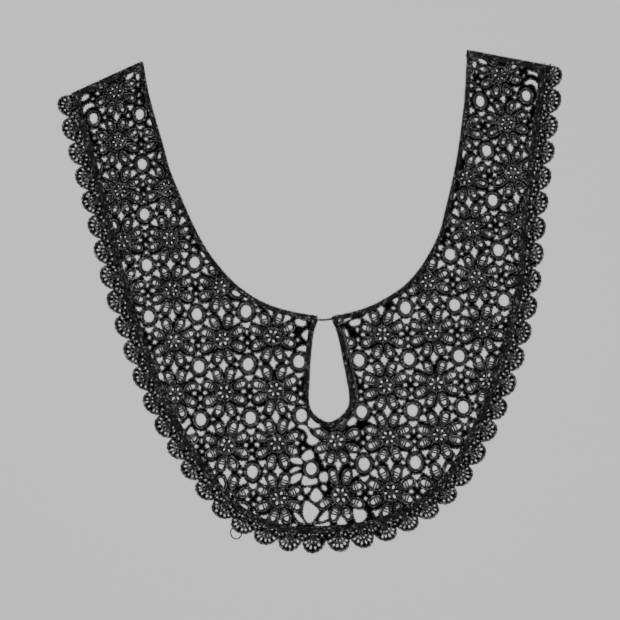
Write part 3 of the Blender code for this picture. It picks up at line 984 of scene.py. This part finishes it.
# The cords of the grounds: how far they lie outside their loop, their size, and how rough they are
groundCords = {
    "gap": {"out": 0.42, "wide": 0.86, "high": 0.85, "z": 1.0, "sides": 5, "bead": 0.36, "cog": 0.26},
    "eyeletInner": {"out": 0.5, "wide": 1.0, "high": 1.15, "z": 1.15, "bead": 0.3, "cog": 0.2},
    "eyeletOuter": {"out": 1.5, "wide": 0.95, "high": 0.95, "z": 1.0},
    "joinInner": {"out": 0.5, "wide": 1.0, "high": 1.1, "z": 1.1},
    "joinOuter": {"out": 1.5, "wide": 0.95, "high": 1.1, "z": 1.1},
    "petalOuter": {"wide": 1.0, "high": 1.15, "z": 1.3, "sides": 5},
    "petalInner": {"wide": 0.95, "high": 0.85, "z": 1.05, "sides": 5, "bead": 0.1},
    "rung": {"wide": 0.98, "high": 0.6, "z": 0.95, "sides": 5, "bead": 0},
    "hubRing": {"wide": 0.9, "high": 0.95, "z": 1.3, "sides": 5},
    "hubKnot": {"wide": 0.95, "high": 1.0, "z": 1.45, "sides": 5},
    "cleft": {"wide": 0.7, "high": 0.8, "z": 1.2, "sides": 5, "bead": 0},
    "besideKeyhole": {"wide": 0.9, "high": 0.9, "z": 1.0, "sides": 5},
}
webFit = {"low": 0.03, "groundHigh": 0.9, "edgingHigh": 1.0, "lap": 0.2}


def looped(threads, loops, zone, kind):
    # Closed cords of one kind, round holes or along loops
    look = dict(groundCords[kind])
    out = look.pop("out", 0)
    for loop in loops:
        threads.clipped(grown(loop, out) if out else loop, zone, closed=True, **look)


def buildGround(half, side):
    zone = groundZone[half]
    cords = Threads()
    flowers = Threads()
    found = holes[half]
    looped(cords, found["plain"], zone, "gap")
    for loop in found["eyelets"]:
        looped(cords, [loop], zone, "eyeletInner")
        looped(cords, [loop], zone, "eyeletOuter")
    for flower in found["flowers"]:
        for outer, inner, _, rungs in flower["petals"]:
            looped(flowers, [outer], zone, "petalOuter")
            looped(flowers, [inner], zone, "petalInner")
            for rung in rungs:
                flowers.clipped(rung, zone, **groundCords["rung"])
        looped(flowers, flower["rings"], zone, "hubRing")
        looped(flowers, flower["knots"], zone, "hubKnot")
        for line in flower["clefts"]:
            flowers.clipped(line, zone, **groundCords["cleft"])
    if half == "right":
        looped(cords, gaps, zone, "gap")
        looped(cords, [ringLoop], zone, "joinInner")
        looped(cords, [ringLoop], zone, "joinOuter")
        inside = [*zone["inside"], beside(splitLines["neck"], side)]
        for outward in (4.2, 5.2):
            line = keyholeLine(outward)[:-12]
            cords.clipped(line, {"inside": inside, "outside": gaps}, **groundCords["besideKeyhole"])
    webZone = {
        "inside": [*zone["inside"], beside(joinLine, side, webFit["lap"])],
        "outside": zone["outside"],
    }
    kinds = ("plain", "eyelets", "inner")
    cut = [loop for found in holes.values() for kind in kinds for loop in found[kind]]
    cut += [*gaps, ringLoop]
    heights = (webFit["low"], webFit["groundHigh"])
    return cords, flowers, *webMesh("web_" + half, webZone, cut, *heights, materials["web"])


holes = {half: patternOf(half, side) for half, side in sides.items()}
for half, found in holes.items():
    print("holes", half, {kind: len(loops) for kind, loops in found.items()}, flush=True)

grounds = {}
for half, side in sides.items():
    cords, flowers, piece, covered = buildGround(half, side)
    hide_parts("ground_" + half)
    grounds[half] = {"web": piece, "covered": covered}
    cordPiece = cords.build("outlines_" + half, materials["cord"])
    flowerPiece = flowers.build("flowers_" + half, materials["cord"])
    for piece in (cordPiece, flowerPiece):
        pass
    grounds[half]["with"] = [cordPiece, flowerPiece]

# The bands are rows of wrapped cords, laid side by side and close enough to leave no gap
bandCord = {
    "wide": 1.42,
    "high": 1.85,
    "z": 1.0,
    "apart": 1.12,
    "outermost": {"bead": 0.24, "cog": 0.18},
    "others": {"bead": 0.18, "cog": 0.05},
}
bandFit = {
    "lap": 0.1,  # how far a band reaches over what is beside it
    "fromEnd": 0.6,
    "frontLap": 0.8,
    "endFrom": 0.5,
    "endTo": {"left": 51.8, "right": 57.0},
    "keyholeFrom": -0.4,
    "keyholeWide": 3.6,
}


def banded(name, lineAt, first, wide, zone):
    # Rows of cord over the width of a band, from the distance called first. The outermost is cogged
    threads = Threads()
    rows = max(int(round((wide - bandCord["wide"]) / bandCord["apart"])) + 1, 2)
    step = (wide - bandCord["wide"]) / (rows - 1)
    size = {key: bandCord[key] for key in ("wide", "high", "z")}
    for k in range(rows):
        line = lineAt(first + bandCord["wide"] / 2 + step * k)
        rough = bandCord["others"] if k else bandCord["outermost"]
        threads.clipped(line, zone, **size, **rough)
    return threads.build(name, materials["band"])


def alongNeck(inward):
    return offsetLine(neckLine, -inward)


def alongEnd(half):
    # Lines across a shoulder end, by their distance from the cut
    inner, outer = (np.array(p) for p in ends[half])
    along = (outer - inner) / np.linalg.norm(outer - inner)
    down = np.array([along[1], -along[0]]) * (1 if along[0] > 0 else -1)
    cut = np.vstack([inner + along * bandFit["endFrom"], inner + along * bandFit["endTo"][half]])
    return lambda inward: cut + down * inward


bandPieces = {}
for half, side in sides.items():
    lap = bandFit["lap"]
    own = endZone(half, bandFit["fromEnd"])
    zone = {
        "inside": [own, beside(splitLines["neck"], side)],
        "outside": [keyholeLine(bandWidths["keyhole"] * 0.5)],
    }
    piece = banded("neckline_" + half, alongNeck, -lap, bandWidths["neck"] + lap, zone)
    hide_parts("neck_band_" + half)
    bandPieces["neck_" + half] = piece

    zone = {"inside": [own, beside(splitLines["edge"], side, bandFit["frontLap"])], "outside": []}
    wide = bandWidths["dense"] + lap
    piece = banded("border_" + half, alongEdge, bandWidths["base"] - lap, wide, zone)
    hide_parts("outer_band_" + half)
    bandPieces["outer_" + half] = piece

    zone = {"inside": [], "outside": []}
    piece = banded("end_" + half, alongEnd(half), 0.0, bandWidths["end"], zone)
    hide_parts("end_band_" + half)
    bandPieces["end_" + half] = piece

belowNeck = np.vstack([neckLine, (neckLine[-1][0], -farAway), (neckLine[0][0], -farAway)])
zone = {"inside": [belowNeck], "outside": []}
piece = banded("keyhole_edge", keyholeLine, bandFit["keyholeFrom"], bandFit["keyholeWide"], zone)
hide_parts("keyhole_band")
bandPieces["keyhole"] = piece

bar = {
    "line": np.array([(3.2, -12.9), (6.5, -13.2), (9.5, -13.3), (14.6, -13.0)]),
    "look": {"wide": 1.25, "high": 1.1, "z": 0.75, "sides": 8},
}
threads = Threads()
threads.cord(evenly(smoothed(bar["line"], 4), 0.5), **bar["look"])
piece = threads.build("thread_bar", materials["cord"])
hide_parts("keyhole_bar")
bandPieces["bar"] = piece

# Thin threads left loose where the lace was joined and trimmed: height, and points in the photograph
looseCord = {"wide": 0.85, "high": 0.6, "sides": 5}
looseThreads = (
    (0.75, [(295, 520.5), (298.5, 523.5), (302, 523), (306, 524.5), (310.5, 523)]),
    (0.75, [(313.5, 523.5), (318, 521), (322.5, 522), (327, 520), (330, 521)]),
    (0.35, [(233, 526.5), (230.5, 532), (232.5, 537.5), (237, 539), (241, 536), (241.5, 531)]),
    (1.35, [(341.2, 328), (343.5, 336), (344.6, 345), (347.8, 358)]),
    (1.35, [(343.4, 328), (345.8, 337), (346.6, 346), (349.4, 356)]),
)
for half, side in sides.items():
    threads = Threads()
    for z, points in looseThreads:
        line = evenly(smoothed(fromPhoto(points), 6), 0.5)
        if ownSide(line[0], side):
            threads.cord(line, z=z, **looseCord)
    piece = threads.build("loose_threads_" + half, materials["cord"])
    grounds[half]["with"].append(piece)
print("bands done", flush=True)

# Scallops. Places are from the middle of a scallop's foot: along it, and outward
scallopHub = (0.0, -3.2)
chordHalf = 8.35


def chordOf(station):
    # The foot of a scallop. The first and last stand beside the shoulder ends
    a, b = edgeLine[station], edgeLine[station + 2]
    if station == 0:
        a = fromPhoto((68.5, 94.5))
    if station == len(edgeLine) - 5:
        b = fromPhoto((552.3, 65.4))
    return a, b


def scallopPoints(station, shape):
    a, b = chordOf(station)
    along = (b - a) / np.linalg.norm(b - a)
    out = np.array([along[1], -along[0]])
    scale = np.linalg.norm(b - a) / 2 / chordHalf
    shape = np.atleast_2d(np.asarray(shape, float))
    return (a + b) / 2 + along * shape[:, :1] * scale + out * shape[:, 1:2]


def scallopHighAt(station):
    # The front scallops stand out farther
    x = (edgeLine[station][0] + edgeLine[station + 2][0]) / 2
    return 6.4 + 1.5 * math.exp(-((x / 38) ** 2)) + (1.0 if station == 0 else 0.0)


def lobePoints(station, inset):
    # The outer edge of a scallop, from one notch to the next, leaning towards the shoulder end
    high = scallopHighAt(station) - inset
    shares = smoothed(lobe, 8)
    rows = evenly(shares * (chordHalf, high), 0.4)
    narrow = 1 - inset / chordHalf * 0.9
    side = -1 if station < frontStation else 1
    x = rows[:, 0] * narrow + side * leanAt * rows[:, 1] / high
    return np.stack([x, rows[:, 1]], 1)


lobe = np.array(
    [
        (-1.0, -0.03),
        (-0.93, 0.07),
        (-0.89, 0.22),
        (-0.81, 0.45),
        (-0.66, 0.69),
        (-0.44, 0.88),
        (-0.16, 0.99),
        (0.16, 0.99),
        (0.44, 0.88),
        (0.66, 0.69),
        (0.81, 0.45),
        (0.89, 0.22),
        (0.93, 0.07),
        (1.0, -0.03),
    ]
)
leanAt = 1.1
# Short cords under a scallop and between it and the next
scallopFeet = (
    [(-1.9, -4.6), (0.0, -4.9), (1.5, -4.6)],
    [(6.7, -5.2), (8.3, -4.8), (10.0, -5.2)],
    [(7.2, -0.9), (8.35, -1.7), (9.5, -0.9)],
    [(-6.9, -2.2), (-6.0, -2.9), (-4.6, -2.6)],
    [(6.9, -2.2), (6.0, -2.9), (4.6, -2.6)],
)


def scallopHoles(station):
    # The fans are closer stitched up the arms than at the front
    high = scallopHighAt(station) / 6.3
    share = 0.78 + 0.22 * math.exp(-((edgeLine[station][0] / 70) ** 2))
    side = -1 if station < frontStation else 1
    rows = [
        *((turn, 6.6, 1.35, 0.8) for turn in (31, 54, 78, 102, 126, 149)),
        *((turn, 3.75, 0.85, 0.6) for turn in (38, 72, 108, 142)),
    ]
    holes = []
    for turn, at, long, wide in rows:
        turn += draws.normal(0, 2.5)
        c, s = math.cos(math.radians(turn)), math.sin(math.radians(turn))
        at += draws.normal(0, 0.2)
        x, y = scallopHub[0] + at * c, (scallopHub[1] + at * s) * (high if at > 5 else 1)
        x += side * leanAt * max(y, 0) / 6.3
        long, wide = (long + draws.normal(0, 0.16)) * share, (wide + draws.normal(0, 0.08)) * share
        holes.append(ellipse(long, wide, 9, (x, y), turn))
    for x, y in ((-5.6, -4.1), (5.6, -4.1), (8.1, -2.6), (-3.0, -4.9), (2.6, -4.9)):
        at = (x + draws.normal(0, 0.25), y + draws.normal(0, 0.2))
        holes.append(ellipse(0.72, 0.55, 8, at, draws.uniform(0, 180)))
    return holes


stations = range(0, len(edgeLine) - 3, 2)
outline = np.vstack([scallopPoints(station, lobePoints(station, 0.7)) for station in stations])
inside = alongEdge(bandWidths["base"] + tuck)
inside = inside[isKept(inside, {"inside": [endZone("left", 0.6), endZone("right", 0.6)], "outside": []})]
edgeStrip = np.vstack([outline, inside[::-1]])
for half, side in sides.items():
    zone = {"inside": [beside(splitLines["edge"], side, 0.8)], "outside": []}
    webZone = {"inside": [edgeStrip, beside(splitLines["edge"], side)], "outside": []}
    loops = []
    threads = Threads()
    for station in stations:
        ownHoles = [scallopPoints(station, hole) for hole in scallopHoles(station)]
        ownHoles = [loop for loop in ownHoles if isKept(loop, webZone).all()]
        loops += ownHoles
        if not isKept(scallopPoints(station, (0, 0)), zone)[0]:
            continue
        arch = scallopPoints(station, lobePoints(station, 0.75))
        bumps = np.sin(np.linspace(0, 7 * 2 * math.pi, len(arch)) - 1.6)
        arch = offsetLine(arch, -0.22 * bumps)
        threads.clipped(arch, zone, wide=1.4, high=1.4, z=1.05, bead=0.26, cog=0.16)
        tilt = (-1 if station < frontStation else 1) * 0.35
        for radius, low, high in ((5.25, 16, 164), (4.65, 16, 164), (2.6, 0, 180), (1.7, -40, 220), (0.7, 0, 340)):
            turns = np.radians(np.linspace(low, high, 18))
            arc = np.stack([np.cos(turns), np.sin(turns)], 1) * radius + scallopHub + (tilt, 0)
            threads.clipped(scallopPoints(station, arc), zone, wide=0.7, high=0.8, z=1.2)
        for loop in ownHoles:
            threads.clipped(grown(loop, 0.3), zone, closed=True, wide=0.6, high=0.65, z=1.05, sides=5)
        for line in scallopFeet:
            threads.clipped(scallopPoints(station, smoothed(line, 4)), zone, wide=0.8, high=0.8, z=1.05, sides=5)
    heights = (webFit["low"], webFit["edgingHigh"])
    web, covered = webMesh("edging_web_" + half, webZone, loops, *heights, materials["web"])
    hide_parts("scallop_edge_" + half)
    cords = threads.build("edging_" + half, materials["cord"])


frontAt = frontStation * 3
edgeParts = {"left": edgeFine[: frontAt + 1], "right": edgeFine[frontAt:]}
for half, ground in grounds.items():
    low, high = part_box("ground_" + half)
    others = [*ground["with"], bandPieces["neck_" + half], bandPieces["end_" + half], bandPieces["outer_" + half]]
    if half == "left":
        others += [bandPieces["keyhole"], bandPieces["bar"]]
    wide = (bandWidths["base"] + tuck + scallopHigh) * mm
    long = float(lengths(edgeParts[half])[-1]) * mm

# Floor, light and camera
floor = bpy.data.objects.new("floor", bpy.data.meshes.new("floor"))
floor.data.from_pydata([(-3, -3, 0), (3, -3, 0), (3, 3, 0), (-3, 3, 0)], [], [(0, 1, 2, 3)])
bpy.context.scene.collection.objects.link(floor)
floor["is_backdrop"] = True
paper = bpy.data.materials.new("plain_floor")
paper.use_nodes = True
paper.node_tree.nodes["Principled BSDF"].inputs["Base Color"].default_value = (0.496, 0.482, 0.486, 1)
paper.node_tree.nodes["Principled BSDF"].inputs["Roughness"].default_value = 0.9
floor.data.materials.append(paper)

world = bpy.data.worlds.new("studio")
bpy.context.scene.world = world
world.use_nodes = True
world.node_tree.nodes["Background"].inputs["Color"].default_value = (1, 1, 1, 1)
world.node_tree.nodes["Background"].inputs["Strength"].default_value = 0.06


def softLight(name, place, size, power):
    light = bpy.data.lights.new(name, "AREA")
    light.shape = "SQUARE"
    light.size = size
    light.energy = power
    lamp = bpy.data.objects.new(name, light)
    lamp.location = place
    aim = Vector((0, 0, 0)) - Vector(place)
    lamp.rotation_euler = aim.to_track_quat("-Z", "Y").to_euler()
    bpy.context.scene.collection.objects.link(lamp)


softLight("key", (-0.55, 0.6, 1.7), 0.45, 28)
softLight("fill", (0.75, -0.1, 1.7), 0.45, 20)
softLight("low", (-0.2, -0.85, 1.6), 0.45, 14)

camera = bpy.data.objects.new("camera", bpy.data.cameras.new("camera"))
viewWide = 0.4154
camera.data.lens = 200
camera.data.sensor_width = 36
centreX, centreY = (np.array([-0.44, -6.01]) - middle) * mm
camera.location = (centreX, centreY, viewWide * camera.data.lens / camera.data.sensor_width + 0.001)
camera.rotation_euler = (0, 0, math.radians(-4.2))
bpy.context.scene.collection.objects.link(camera)
bpy.context.scene.camera = camera

boxes = {"cad": cadBounds, "visual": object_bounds()}
{name: [[float(v) for v in p] for p in box] for name, box in boxes.items()}
